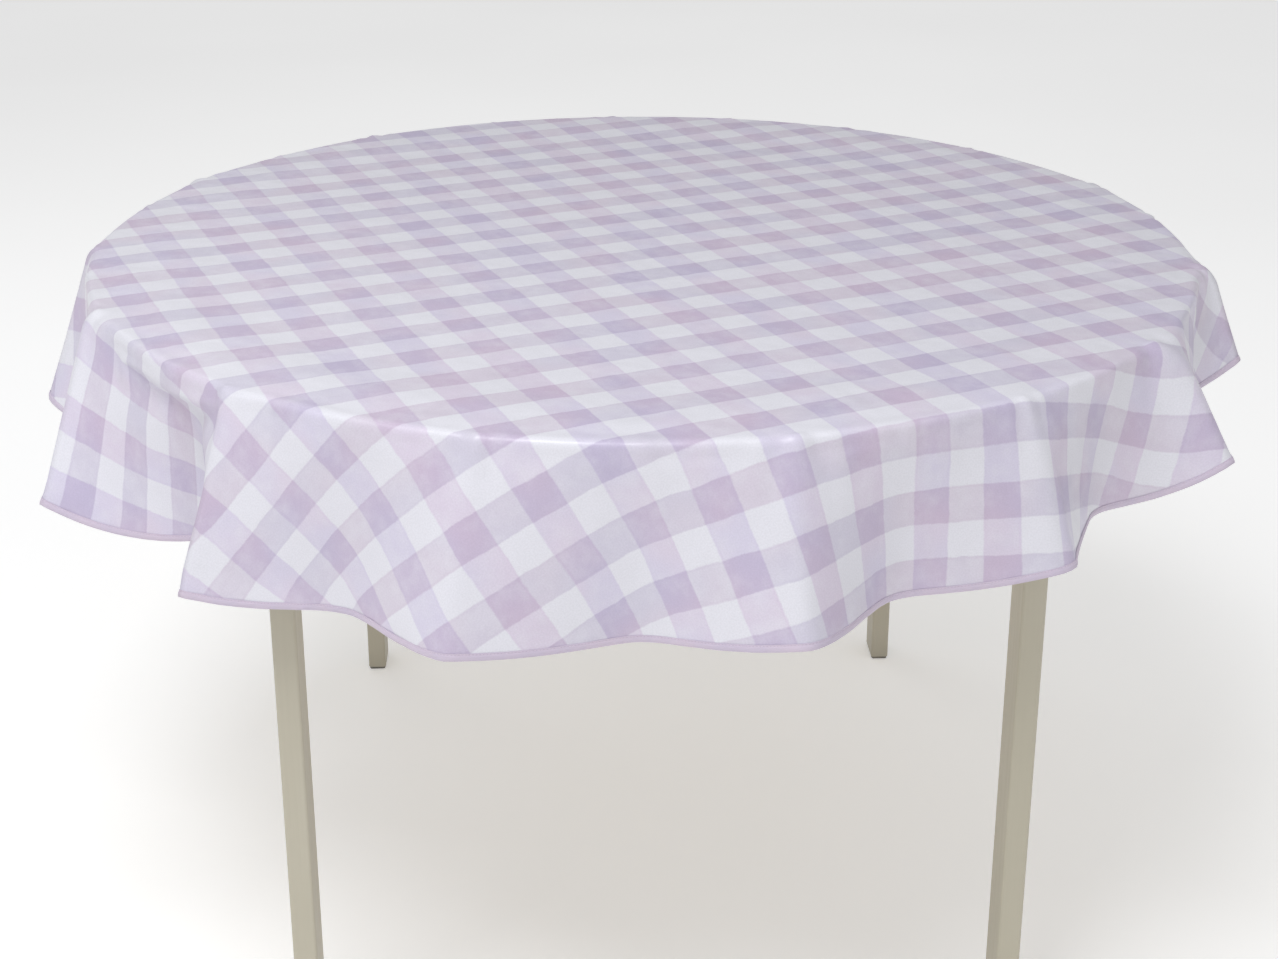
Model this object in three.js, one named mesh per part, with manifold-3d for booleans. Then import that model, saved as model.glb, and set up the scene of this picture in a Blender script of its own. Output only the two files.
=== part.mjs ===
// A round wipe-clean tablecloth with a sewn-on hem binding, lying on a round dining table.
// Millimetres, +Z up. The origin is on the floor, in the middle of the footprint of the draped cloth.
import * as THREE from "three";
import { mergeGeometries, mergeVertices } from "three/addons/utils/BufferGeometryUtils.js";
import Module from "manifold-3d";

const wasm = await Module();
wasm.setup();

// ---- driving dimensions ----
const TABLE_HEIGHT = 750;
const TOP_RADIUS = 600;
const TOP_THICKNESS = 22;
const TOP_EDGE_ROUND = 6;

const LEG_WIDTH = 24;
const LEG_DEPTH = 48;
const LEG_PITCH_ACROSS = 720;
const LEG_PITCH_DEEP = 830;
const LEG_CORNER_ROUND = 3;
const LEG_END_EASE = 1.2;
const BASE_TURN = THREE.MathUtils.degToRad(2.4);

const FOOT_PAD_THICKNESS = 3;
const FOOT_PAD_INSET = 1.2;
const FOOT_PAD_EASE = 0.6;

const RAIL_THICKNESS = 20;
const RAIL_HEIGHT = 70;
const RAIL_CORNER_ROUND = 1;
const RAIL_EASE = 0.8;

const BLOCK_LEG = 95;
const BLOCK_NEAR_ONE_RAIL = 42;
const BLOCK_NEAR_OTHER_RAIL = 54;
const BLOCK_HEIGHT = 40;

const BOLT_RADIUS = 4;
const BOLT_TIP = 1.2;
const BOLT_IN_LEG = 25;
const BOLT_PAST_BLOCK = 14;
const WASHER_RADIUS = 10;
const WASHER_THICKNESS = 1.6;
const NUT_ACROSS_CORNERS = 15;
const NUT_HEIGHT = 6.5;
const HOLE_OVERRUN = 10;
const HOLE_SIDES = 12;

const SCREW_RADIUS = 2.2;
const SCREW_HEAD_RADIUS = 4.6;
const SCREW_HEAD_HEIGHT = 2.8;
const SCREW_HEAD_CROWN = 3.2;
const SCREW_POINT = 4;
const SCREW_POINT_RADIUS = 0.4;
const SCREW_SIDES = 8;
const SCREW_IN_TOP = 13;
const SCREW_ALONG_BLOCK = 74;
const SCREW_OFF_RAIL = 13;

const CLOTH_RADIUS = 748;
const CLOTH_THICKNESS = 1.2;
const CLOTH_GAP = 0.6;
const CLOTH_CENTRE = new THREE.Vector2(-31, -45);
const CLOTH_SECTORS = 96;
const CLOTH_FLAT_RINGS = [250, 480];
const CLOTH_RIM_STEPS = [-6, 0, 6, 12, 19, 27];
const CLOTH_SKIRT_RINGS = 2;
const HEM_STRIP = 12;

const BINDING_RADIUS = 750;
const BINDING_WIDTH = 8;
const BINDING_WALL = 0.75;
const BINDING_GAP = 0.7;

const BEND_START = 3;
const BEND_RADIUS_TIGHT = 22;
const BEND_RADIUS_FULL = 70;
const FULL_LOBE_TILT = 35;
const SHIFT_LENGTH = 180;

const GAP = 0.3;

// The folds of the skirt, anticlockwise from +X: where on the cloth each one is (at, degrees), how far
// it leans out from upright (lean, degrees) and how far it is drawn sideways at the hem (drawn, degrees).
const FOLDS = [
  { at: 8, lean: 4, drawn: 0 },
  { at: 22, lean: 30, drawn: 0 },
  { at: 43, lean: 3, drawn: 0 },
  { at: 62, lean: 34, drawn: 0 },
  { at: 79, lean: 3, drawn: 0 },
  { at: 95, lean: 28, drawn: 0 },
  { at: 111, lean: 3, drawn: 0 },
  { at: 127, lean: 30, drawn: 0 },
  { at: 141, lean: 2, drawn: 0 },
  { at: 154, lean: 28, drawn: 0 },
  { at: 166, lean: 1, drawn: 0 },
  { at: 180, lean: 28, drawn: 3 },
  { at: 192, lean: 0, drawn: 3 },
  { at: 206, lean: 29, drawn: 5 },
  { at: 224, lean: 0, drawn: 0 },
  { at: 234, lean: 20, drawn: -2 },
  { at: 246, lean: 0, drawn: -3 },
  { at: 256, lean: 10, drawn: -1.5 },
  { at: 269, lean: 0, drawn: 0.5 },
  { at: 280.5, lean: 14, drawn: 1.5 },
  { at: 291, lean: 0, drawn: 1 },
  { at: 304.5, lean: 20, drawn: 2 },
  { at: 314, lean: 0, drawn: 3 },
  { at: 325.5, lean: 34, drawn: 2 },
  { at: 341, lean: 8, drawn: 3 },
  { at: 350, lean: 28, drawn: 0 },
];

// ---- finishes ----
const finish = (color, roughness, metalness = 0) =>
  new THREE.MeshStandardMaterial({ color, roughness, metalness });
const FINISHES = {
  cloth: finish(0xcfc9da, 0.45),
  binding: finish(0xcbb9cf, 0.6),
  board: finish(0xb9b4a3, 0.55),
  paint: finish(0xbdb9ab, 0.45),
  block: finish(0xc9a878, 0.7),
  steel: finish(0x9a9c9e, 0.35, 0.9),
  pad: finish(0x8f8c80, 0.8),
};

// ---- helpers ----
function solidOf(geometry, matrix = new THREE.Matrix4()) {
  const bare = geometry.clone().applyMatrix4(matrix);
  bare.deleteAttribute("normal");
  bare.deleteAttribute("uv");
  const merged = mergeVertices(bare, 1e-4);
  const vertProperties = new Float32Array(merged.attributes.position.array);
  const triVerts = new Uint32Array(merged.index.array);
  return new wasm.Manifold(new wasm.Mesh({ numProp: 3, vertProperties, triVerts }));
}

function geometryOf(solid) {
  const mesh = solid.getMesh();
  const geometry = new THREE.BufferGeometry();
  geometry.setAttribute("position", new THREE.BufferAttribute(mesh.vertProperties, 3));
  geometry.setIndex(new THREE.BufferAttribute(mesh.triVerts, 1));
  geometry.computeVertexNormals();
  return geometry;
}

function cut(geometry, tools) {
  const whole = solidOf(geometry);
  return geometryOf(tools.reduce((solid, tool) => solid.subtract(tool), whole));
}

function named(name, geometry, material) {
  const mesh = new THREE.Mesh(geometry, material);
  mesh.name = name;
  return mesh;
}

// A lathe turned about Z instead of Y.
function turned(points, segments) {
  return new THREE.LatheGeometry(points.map(([r, z]) => new THREE.Vector2(r, z)), segments)
    .rotateX(Math.PI / 2);
}

// The same triangles seen from their other side.
function turnedOver(geometry) {
  const index = geometry.index;
  for (let i = 0; i < index.count; i += 3) {
    const second = index.getX(i + 1);
    index.setX(i + 1, index.getX(i + 2));
    index.setX(i + 2, second);
  }
  return geometry;
}

function roundedRectangle(width, depth, radius) {
  const w = width / 2;
  const d = depth / 2;
  const shape = new THREE.Shape();
  shape.moveTo(w, d - radius);
  shape.absarc(w - radius, d - radius, radius, 0, Math.PI / 2, false);
  shape.absarc(radius - w, d - radius, radius, Math.PI / 2, Math.PI, false);
  shape.absarc(radius - w, radius - d, radius, Math.PI, 1.5 * Math.PI, false);
  shape.absarc(w - radius, radius - d, radius, 1.5 * Math.PI, 2 * Math.PI, false);
  return shape;
}

function prism(shape, height, bevel = 0) {
  return new THREE.ExtrudeGeometry(shape, {
    depth: height - 2 * bevel,
    curveSegments: 3,
    bevelEnabled: bevel > 0,
    bevelThickness: bevel,
    bevelSize: bevel,
    bevelOffset: -bevel,
    bevelSegments: 1,
  }).translate(0, 0, bevel);
}

// ---- the drape: from the cloth as cut, lying flat, to the cloth on the table ----
const clothPlane = TABLE_HEIGHT + CLOTH_GAP + CLOTH_THICKNESS / 2;

function foldAt(angle) {
  const degrees = (THREE.MathUtils.radToDeg(angle) + 360) % 360;
  const first = FOLDS[0];
  const last = FOLDS[FOLDS.length - 1];
  const round = [{ ...last, at: last.at - 360 }, ...FOLDS, { ...first, at: first.at + 360 }];
  const next = round.findIndex((fold) => fold.at > degrees);
  const low = round[next - 1];
  const high = round[next];
  const weight = (1 - Math.cos((Math.PI * (degrees - low.at)) / (high.at - low.at))) / 2;
  return {
    lean: THREE.MathUtils.lerp(low.lean, high.lean, weight),
    drawn: THREE.MathUtils.lerp(low.drawn, high.drawn, weight),
  };
}

// Along its radius the cloth lies flat, bends over the rim on an arc and then falls straight. The arc
// widens and the fall leans out towards the crest of each fold.
function drapedPoint(x, y) {
  const radius = Math.hypot(x, y);
  const angle = Math.atan2(y, x);
  const { lean, drawn } = foldAt(angle);
  const lobe = THREE.MathUtils.clamp(lean / FULL_LOBE_TILT, 0, 1);
  const bend = THREE.MathUtils.lerp(BEND_RADIUS_TIGHT, BEND_RADIUS_FULL, lobe);
  const start = TOP_RADIUS - BEND_START;
  const past = Math.max(radius - start, 0);
  const fall = THREE.MathUtils.degToRad(90 - lean);
  const arc = Math.min(past / bend, fall);
  const straight = Math.max(past - bend * fall, 0);
  const out = Math.min(radius, start) + bend * Math.sin(arc) + straight * Math.cos(fall);
  const down = bend * (1 - Math.cos(arc)) + straight * Math.sin(fall);
  const place = angle + THREE.MathUtils.degToRad(drawn) * Math.min(past / SHIFT_LENGTH, 1);
  return new THREE.Vector3(out * Math.cos(place), out * Math.sin(place), clothPlane - down);
}

// How far the edge of the round cloth is from the table's axis, in the direction of an angle.
function edgeDistance(angle) {
  const direction = new THREE.Vector2(Math.cos(angle), Math.sin(angle));
  const along = CLOTH_CENTRE.dot(direction);
  return along + Math.sqrt(CLOTH_RADIUS ** 2 - CLOTH_CENTRE.lengthSq() + along ** 2);
}

// The cloth lies off centre. A ring inside the rim stays round about the table's axis, the hem strip
// keeps its distance from the edge of the cloth, and the rings between them share out what is left.
function cutRadius(radius, angle) {
  const rim = TOP_RADIUS + CLOTH_RIM_STEPS[CLOTH_RIM_STEPS.length - 1];
  const strip = CLOTH_RADIUS - HEM_STRIP;
  const edge = edgeDistance(angle);
  if (radius <= rim) return radius;
  if (radius >= strip) return edge - CLOTH_RADIUS + radius;
  return THREE.MathUtils.mapLinear(radius, rim, strip, rim, edge - HEM_STRIP);
}

// Moves a flat sewn piece, thickness along Z, onto the draped surface.
function draped(geometry) {
  const position = geometry.attributes.position;
  const step = 0.5;
  for (let i = 0; i < position.count; i += 1) {
    const angle = Math.atan2(position.getY(i), position.getX(i));
    const radius = cutRadius(Math.hypot(position.getX(i), position.getY(i)), angle);
    const x = radius * Math.cos(angle);
    const y = radius * Math.sin(angle);
    const along = drapedPoint(x + step, y).sub(drapedPoint(x - step, y));
    const across = drapedPoint(x, y + step).sub(drapedPoint(x, y - step));
    const normal = along.cross(across).normalize();
    const point = drapedPoint(x, y).addScaledVector(normal, position.getZ(i));
    position.setXYZ(i, point.x, point.y, point.z);
  }
  geometry.deleteAttribute("normal");
  geometry.deleteAttribute("uv");
  const welded = mergeVertices(geometry, 1e-3);
  welded.computeVertexNormals();
  return welded;
}

// Both faces of the cloth are laid out in the same triangles, so they stay apart where it twists.
function tablecloth() {
  const rimRings = CLOTH_RIM_STEPS.map((step) => TOP_RADIUS + step);
  const rimEnd = rimRings[rimRings.length - 1];
  const strip = CLOTH_RADIUS - HEM_STRIP;
  const skirtRings = Array.from({ length: CLOTH_SKIRT_RINGS }, (_, i) =>
    THREE.MathUtils.lerp(rimEnd, strip, (i + 1) / (CLOTH_SKIRT_RINGS + 1)));
  const tapeEdge = BINDING_RADIUS - BINDING_WIDTH;
  const rings = [...CLOTH_FLAT_RINGS, ...rimRings, ...skirtRings, strip, tapeEdge, CLOTH_RADIUS];
  const half = CLOTH_THICKNESS / 2;
  const under = turned([0, ...rings].map((r) => [r, -half]), CLOTH_SECTORS);
  const over = turnedOver(turned([0, ...rings].map((r) => [r, half]), CLOTH_SECTORS));
  const edge = turned([[CLOTH_RADIUS, -half], [CLOTH_RADIUS, half]], CLOTH_SECTORS);
  return named("tablecloth", draped(mergeGeometries([under, over, edge])), FINISHES.cloth);
}

// A tape folded over the edge of the cloth, as a U lying on its side.
function hemBinding() {
  const inner = CLOTH_THICKNESS / 2 + BINDING_GAP;
  const outer = inner + BINDING_WALL;
  const open = BINDING_RADIUS - BINDING_WIDTH;
  const floor = CLOTH_RADIUS + BINDING_GAP;
  const profile = [
    [open, outer], [open, inner], [floor, inner], [floor, -inner], [open, -inner],
    [open, -outer], [BINDING_RADIUS, -outer], [BINDING_RADIUS, outer], [open, outer],
  ];
  return named("hem_binding", draped(turned(profile, CLOTH_SECTORS)), FINISHES.binding);
}

// ---- the table ----
const topUnderside = TABLE_HEIGHT - TOP_THICKNESS;
const frameTop = topUnderside - GAP;
const blockTop = frameTop;
const blockBottom = blockTop - BLOCK_HEIGHT;
const boltHeight = blockTop - BLOCK_HEIGHT / 2;
const CORNERS = [
  { name: "front_left", sx: -1, sy: -1 },
  { name: "front_right", sx: 1, sy: -1 },
  { name: "rear_left", sx: -1, sy: 1 },
  { name: "rear_right", sx: 1, sy: 1 },
];
const railInnerX = LEG_PITCH_ACROSS / 2 - RAIL_THICKNESS / 2;
const railInnerY = LEG_PITCH_DEEP / 2 - RAIL_THICKNESS / 2;
const legInner = new THREE.Vector2((LEG_PITCH_ACROSS - LEG_WIDTH) / 2, (LEG_PITCH_DEEP - LEG_DEPTH) / 2);

// The bolt line of a corner runs through the leg's inner edge, square to the block's long face.
const boltLength = (() => {
  const legEdge = (railInnerX - legInner.x) + (railInnerY - legInner.y);
  return (BLOCK_LEG - legEdge) / Math.SQRT2;
})();

function boltFrame({ sx, sy }, along) {
  const toCentre = new THREE.Vector3(-sx, -sy, 0).normalize();
  const from = new THREE.Vector3(sx * legInner.x, sy * legInner.y, boltHeight);
  const turn = new THREE.Quaternion().setFromUnitVectors(new THREE.Vector3(0, 1, 0), toCentre);
  const unscaled = new THREE.Vector3(1, 1, 1);
  return new THREE.Matrix4().compose(from.addScaledVector(toCentre, along), turn, unscaled);
}

function screwSpots({ sx, sy }) {
  const x = (off) => sx * (railInnerX - off);
  const y = (off) => sy * (railInnerY - off);
  return [
    new THREE.Vector2(x(SCREW_ALONG_BLOCK), y(SCREW_OFF_RAIL)),
    new THREE.Vector2(x(SCREW_OFF_RAIL), y(SCREW_ALONG_BLOCK)),
  ];
}

function boltHole(corner) {
  const inwards = boltLength + BOLT_PAST_BLOCK + HOLE_OVERRUN;
  const middle = (inwards - BOLT_IN_LEG) / 2;
  const radius = BOLT_RADIUS + GAP;
  const hole = new THREE.CylinderGeometry(radius, radius, inwards + BOLT_IN_LEG, HOLE_SIDES);
  return solidOf(hole, boltFrame(corner, middle));
}

function screwHole(spot) {
  const height = BLOCK_HEIGHT + SCREW_IN_TOP + HOLE_OVERRUN;
  const hole = new THREE.CylinderGeometry(SCREW_RADIUS + GAP, SCREW_RADIUS + GAP, height, SCREW_SIDES);
  const middle = topUnderside + SCREW_IN_TOP + GAP - height / 2;
  return solidOf(hole.rotateX(Math.PI / 2), new THREE.Matrix4().makeTranslation(spot.x, spot.y, middle));
}

function tableTop() {
  const r = TOP_EDGE_ROUND;
  const corner = (z, from) => Array.from({ length: 3 }, (_, i) => {
    const angle = from + (i * Math.PI) / 4;
    return [TOP_RADIUS - r + r * Math.cos(angle), z + r * Math.sin(angle)];
  });
  const profile = [
    [0, topUnderside],
    ...corner(topUnderside + r, -Math.PI / 2),
    ...corner(TABLE_HEIGHT - r, 0),
    [0, TABLE_HEIGHT],
  ];
  const board = turned(profile, 72);
  return named("table_top", cut(board, CORNERS.flatMap(screwSpots).map(screwHole)), FINISHES.board);
}

function leg(corner) {
  const shape = roundedRectangle(LEG_WIDTH, LEG_DEPTH, LEG_CORNER_ROUND);
  const floorGap = FOOT_PAD_THICKNESS + GAP;
  const post = prism(shape, frameTop - floorGap, LEG_END_EASE).translate(
    (corner.sx * LEG_PITCH_ACROSS) / 2, (corner.sy * LEG_PITCH_DEEP) / 2, floorGap);
  return named(`leg_${corner.name}`, cut(post, [boltHole(corner)]), FINISHES.paint);
}

function footPad(corner) {
  const width = LEG_WIDTH - 2 * FOOT_PAD_INSET;
  const depth = LEG_DEPTH - 2 * FOOT_PAD_INSET;
  const shape = roundedRectangle(width, depth, LEG_CORNER_ROUND);
  const pad = named(`foot_pad_${corner.name}`, prism(shape, FOOT_PAD_THICKNESS, FOOT_PAD_EASE), FINISHES.pad);
  pad.position.set((corner.sx * LEG_PITCH_ACROSS) / 2, (corner.sy * LEG_PITCH_DEEP) / 2, 0);
  return pad;
}

// The rail ends are notched where the leg bolts pass them.
function rail(name, lengthAcross, lengthDeep, x, y) {
  const shape = roundedRectangle(lengthAcross, lengthDeep, RAIL_CORNER_ROUND);
  const board = prism(shape, RAIL_HEIGHT, RAIL_EASE).translate(x, y, frameTop - RAIL_HEIGHT);
  return named(name, cut(board, CORNERS.map(boltHole)), FINISHES.paint);
}

function rails() {
  const across = LEG_PITCH_ACROSS - LEG_WIDTH - 2 * GAP;
  const deep = LEG_PITCH_DEEP - LEG_DEPTH - 2 * GAP;
  return [
    rail("apron_rail_front", across, RAIL_THICKNESS, 0, -LEG_PITCH_DEEP / 2),
    rail("apron_rail_rear", across, RAIL_THICKNESS, 0, LEG_PITCH_DEEP / 2),
    rail("apron_rail_left", RAIL_THICKNESS, deep, -LEG_PITCH_ACROSS / 2, 0),
    rail("apron_rail_right", RAIL_THICKNESS, deep, LEG_PITCH_ACROSS / 2, 0),
  ];
}

function cornerBlock(corner) {
  const x = (off) => corner.sx * (railInnerX - off);
  const y = (off) => corner.sy * (railInnerY - off);
  const outline = [
    new THREE.Vector2(x(BLOCK_NEAR_ONE_RAIL), y(GAP)),
    new THREE.Vector2(x(BLOCK_LEG), y(GAP)),
    new THREE.Vector2(x(GAP), y(BLOCK_LEG)),
    new THREE.Vector2(x(GAP), y(BLOCK_NEAR_OTHER_RAIL)),
  ];
  const block = prism(new THREE.Shape(outline), BLOCK_HEIGHT).translate(0, 0, blockBottom);
  const holes = [boltHole(corner), ...screwSpots(corner).map(screwHole)];
  return named(`corner_block_${corner.name}`, cut(block, holes), FINISHES.block);
}

function legBolt(corner) {
  const length = BOLT_IN_LEG - GAP + boltLength + BOLT_PAST_BLOCK;
  const points = [
    [0, 0], [BOLT_RADIUS - BOLT_TIP, 0], [BOLT_RADIUS, BOLT_TIP], [BOLT_RADIUS, length - BOLT_TIP],
    [BOLT_RADIUS - BOLT_TIP, length], [0, length],
  ].map(([r, y]) => new THREE.Vector2(r, y));
  const along = boltFrame(corner, GAP - BOLT_IN_LEG);
  const bolt = new THREE.LatheGeometry(points, HOLE_SIDES).applyMatrix4(along);
  return named(`leg_bolt_${corner.name}`, bolt, FINISHES.steel);
}

function ringOnBolt(name, corner, outerRadius, sides, thickness, along) {
  const ring = new THREE.CylinderGeometry(outerRadius, outerRadius, thickness, sides);
  const radius = BOLT_RADIUS + GAP;
  const bore = new THREE.CylinderGeometry(radius, radius, thickness + HOLE_OVERRUN, HOLE_SIDES);
  const geometry = cut(ring, [solidOf(bore)]).applyMatrix4(boltFrame(corner, along + thickness / 2));
  return named(name, geometry, FINISHES.steel);
}

function fasteners(corner) {
  const washerAt = boltLength + GAP;
  const nutAt = washerAt + WASHER_THICKNESS + GAP;
  return [
    legBolt(corner),
    ringOnBolt(`washer_${corner.name}`, corner, WASHER_RADIUS, 18, WASHER_THICKNESS, washerAt),
    ringOnBolt(`nut_${corner.name}`, corner, NUT_ACROSS_CORNERS / 2, 6, NUT_HEIGHT, nutAt),
  ];
}

function topScrews(corner) {
  const shaft = BLOCK_HEIGHT + GAP + SCREW_IN_TOP;
  const head = SCREW_HEAD_HEIGHT;
  const profile = [
    [0, -head - GAP],
    [SCREW_HEAD_CROWN, -head - GAP],
    [SCREW_HEAD_RADIUS, -head / 2 - GAP],
    [SCREW_HEAD_RADIUS, -GAP],
    [SCREW_RADIUS, -GAP],
    [SCREW_RADIUS, shaft - SCREW_POINT],
    [SCREW_POINT_RADIUS, shaft],
    [0, shaft],
  ];
  return screwSpots(corner).map((spot, i) => {
    const screw = named(`top_screw_${corner.name}_${i + 1}`, turned(profile, SCREW_SIDES), FINISHES.steel);
    screw.position.set(spot.x, spot.y, blockBottom);
    return screw;
  });
}

// ---- assembly ----
const base = new THREE.Group();
base.rotation.z = BASE_TURN;
base.add(tableTop(), ...rails());
for (const corner of CORNERS) {
  base.add(leg(corner), footPad(corner), cornerBlock(corner));
  base.add(...fasteners(corner), ...topScrews(corner));
}

const object = new THREE.Group();
object.add(tablecloth(), hemBinding(), base);
object.updateMatrixWorld(true);

const footprint = new THREE.Box3().setFromObject(object, true).getCenter(new THREE.Vector3());
object.position.set(-footprint.x, -footprint.y, 0);

export default object;
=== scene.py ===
import math

import bpy
import numpy as np
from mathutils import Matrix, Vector


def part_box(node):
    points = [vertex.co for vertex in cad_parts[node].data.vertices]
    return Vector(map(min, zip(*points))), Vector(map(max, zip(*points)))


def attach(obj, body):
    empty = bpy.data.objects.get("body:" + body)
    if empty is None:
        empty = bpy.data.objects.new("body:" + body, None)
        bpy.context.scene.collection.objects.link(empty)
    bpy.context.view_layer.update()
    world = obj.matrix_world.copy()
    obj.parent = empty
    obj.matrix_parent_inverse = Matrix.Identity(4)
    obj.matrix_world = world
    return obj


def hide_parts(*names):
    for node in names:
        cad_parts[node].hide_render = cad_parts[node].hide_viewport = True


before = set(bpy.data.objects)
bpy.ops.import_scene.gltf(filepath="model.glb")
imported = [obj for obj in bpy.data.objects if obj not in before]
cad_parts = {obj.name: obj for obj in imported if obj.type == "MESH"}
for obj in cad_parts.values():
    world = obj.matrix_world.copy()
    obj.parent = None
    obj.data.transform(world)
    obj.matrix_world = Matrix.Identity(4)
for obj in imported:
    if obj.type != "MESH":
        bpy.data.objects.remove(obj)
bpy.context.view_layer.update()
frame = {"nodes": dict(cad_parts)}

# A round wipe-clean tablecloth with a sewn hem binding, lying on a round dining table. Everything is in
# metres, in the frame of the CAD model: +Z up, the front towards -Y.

# ---- the table, from its solids ----
TOP_LOW, TOP_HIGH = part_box("table_top")
AXIS_X = (TOP_LOW[0] + TOP_HIGH[0]) / 2
AXIS_Y = (TOP_LOW[1] + TOP_HIGH[1]) / 2
TOP_HEIGHT = TOP_HIGH[2]
TOP_UNDERSIDE = TOP_LOW[2]
TOP_RADIUS = 0.600
BASE_TURN = math.radians(2.4)
LEG_PITCH_ACROSS = 0.720
LEG_PITCH_DEEP = 0.830
LEG_WIDTH = 0.024
LEG_DEPTH = 0.048
LEG_CORNER = 0.003
LEG_EASE = 0.0012
CORNERS = ("front_left", "front_right", "rear_left", "rear_right")
SIDES = ("front", "rear", "left", "right")

# ---- the cloth as cut and sewn ----
CLOTH_DIAMETER = 1.500
CLOTH_RADIUS = 0.7485
CLOTH_CENTRE = (-0.031, -0.045)
CLOTH_THICKNESS = 0.0006
CLOTH_CLEARANCE = 0.0012
SECTORS = 288
FLAT_RINGS = (0.05, 0.12, 0.19, 0.26, 0.33, 0.39, 0.44, 0.48, 0.513, 0.54, 0.56, 0.575, 0.585)
RIM_RINGS = (0.592, 0.598, 0.603, 0.608, 0.614, 0.621, 0.629)
SKIRT_RINGS = 11
HEM_STRIP = 0.012
HEM_RING = 0.006
REFINE = 2

# ---- how it hangs before it is let go ----
BEND_START = 0.003
BEND_TIGHT = 0.006
BEND_FRONT = 0.045
BEND_REAR = 0.092
FULL_LEAN = 30.0
CREASE_POWER = 1.6
DRAW_LENGTH = 0.180

# The folds of the skirt, anticlockwise from +X: the angle where each one is, how far it leans out from
# upright (below nought tucks in) and how far it is drawn sideways at the hem, all in degrees, and how
# sharp its crest is, from 0 for a round one to 1 for a creased one.
FOLDS = (
    (8, 4, 0, 0), (22, 27, 0, 0.7), (43, 3, 0, 0), (62, 30, 0, 0.7), (79, 3, 0, 0), (95, 25, 0, 0.6),
    (111, 3, 0, 0), (127, 27, 0, 0.7), (141, 2, 0, 0), (154, 25, 0, 0.7), (166, 0, 0, 0),
    (183, 21, 3, 0.6), (193, -2, 3, 0), (206, 27, 4, 0.8), (224.5, -8, 0, 0), (232.5, 19, -2, 0.95),
    (246, -3, -3, 0), (256, 14, -1.5, 0.6), (269, -2, 0.5, 0), (281.5, 16, 1.5, 0.5),
    (292, -4, 1, 0), (304.5, 17, 2.5, 0.8), (314, -1, 3, 0), (325, 31, 2.5, 0.9), (341, 7, 3, 0),
    (350, 28, 0, 0.9),
)

# ---- crow's feet where the folds leave the rim ----
PUCKER_RISE = 0.0042
PUCKER_WIDTH = 0.026
PUCKER_SPREAD = 0.080
PUCKER_REACH = 0.034
PUCKER_STRAY = 0.02
PUCKER_BIAS = 0.3
PUCKER_SIDES = 0.9
PUCKER_START = 0.005
CREST_LEAN = 8

# ---- the cloth let go under its own weight ----
DROP_FRAMES = 40
HELD_RADIUS = 0.50
SKIRT_HOLD = 0.08
SKIRT_HOLD_FROM = 0.66
CLOTH_MASS = 0.02
STRETCH_STIFFNESS = 40
SHEAR_STIFFNESS = 20
BEND_STIFFNESS = 5
STRETCH_DAMPING = 5
BEND_DAMPING = 0.5
AIR_DAMPING = 2
COLLISION_DISTANCE = 0.002
BOARD_FRICTION = 15
BOARD_DAMPING = 0.5
BOARD_SUNK = 0.0015
BOARD_EDGE = 0.004
BOARD_SECTORS = 144
BOARD_MIDDLE = 0.02

# ---- the printed check ----
CHECK = 0.035
CHECK_TURN = math.atan2(0.907, 0.420)
CHECK_START = (-4.594, 3.110)

# ---- the binding tape and its stitches ----
TAPE_WIDTH = 0.0060
TAPE_PEAK = 0.00125
TAPE_EDGE = 0.00085
STITCH_PITCH = 0.0031
STITCH_LENGTH = 0.0024
STITCH_RADIUS = 0.00024
STITCH_INSET = 0.0048
STITCH_SIDES = 5
STITCH_ROWS = 4
TAPE_POCKET = 0.0036
TAPE_HALF_GAP = 0.00036
TAPE_HEM_GAP = 0.00035


# ---------------------------------------------------------------- meshes from arrays
def srgb(red, green, blue):
    """A colour given as 0 to 255 on a screen, as the linear values that a shader takes."""
    steps = np.array([red, green, blue]) / 255
    linear = np.where(steps <= 0.04045, steps / 12.92, ((steps + 0.055) / 1.055) ** 2.4)
    return (*linear.tolist(), 1.0)


def grid_quads(rows, columns, closed_rows=False, closed_columns=True):
    """The quads of a grid of points numbered row by row, each joining a point to the next along and up."""
    row_count = rows if closed_rows else rows - 1
    column_count = columns if closed_columns else columns - 1
    i, j = np.meshgrid(np.arange(row_count), np.arange(column_count), indexing="ij")
    up, along = (i + 1) % rows, (j + 1) % columns
    return np.stack(
        [i * columns + j, i * columns + along, up * columns + along, up * columns + j], -1
    ).reshape(-1, 4)


def make_piece(name, points, faces, uv=None, smooth=True):
    """A mesh object at the origin from arrays. faces is a list of arrays of corner numbers, and uv a
    name and one pair of numbers for each point."""
    mesh = bpy.data.meshes.new(name)
    corners = [np.asarray(f, dtype=np.int32) for f in faces]
    flat = np.concatenate([f.ravel() for f in corners])
    sizes = np.concatenate([np.full(len(f), f.shape[1], dtype=np.int32) for f in corners])
    mesh.vertices.add(len(points))
    mesh.vertices.foreach_set("co", np.asarray(points, dtype=np.float32).ravel())
    mesh.loops.add(len(flat))
    mesh.loops.foreach_set("vertex_index", flat)
    mesh.polygons.add(len(sizes))
    mesh.polygons.foreach_set("loop_start", np.concatenate([[0], np.cumsum(sizes)[:-1]]).astype(np.int32))
    mesh.update(calc_edges=True)
    mesh.polygons.foreach_set("use_smooth", np.full(len(sizes), smooth))
    if uv is not None:
        layer = mesh.uv_layers.new(name=uv[0])
        layer.data.foreach_set("uv", np.asarray(uv[1], dtype=np.float32)[flat].ravel())
    mesh.validate()
    piece = bpy.data.objects.new(name, mesh)
    bpy.context.scene.collection.objects.link(piece)
    return piece


def unit(vectors):
    """Each vector divided by its length."""
    return vectors / np.maximum(np.linalg.norm(vectors, axis=-1, keepdims=True), 1e-12)


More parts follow.
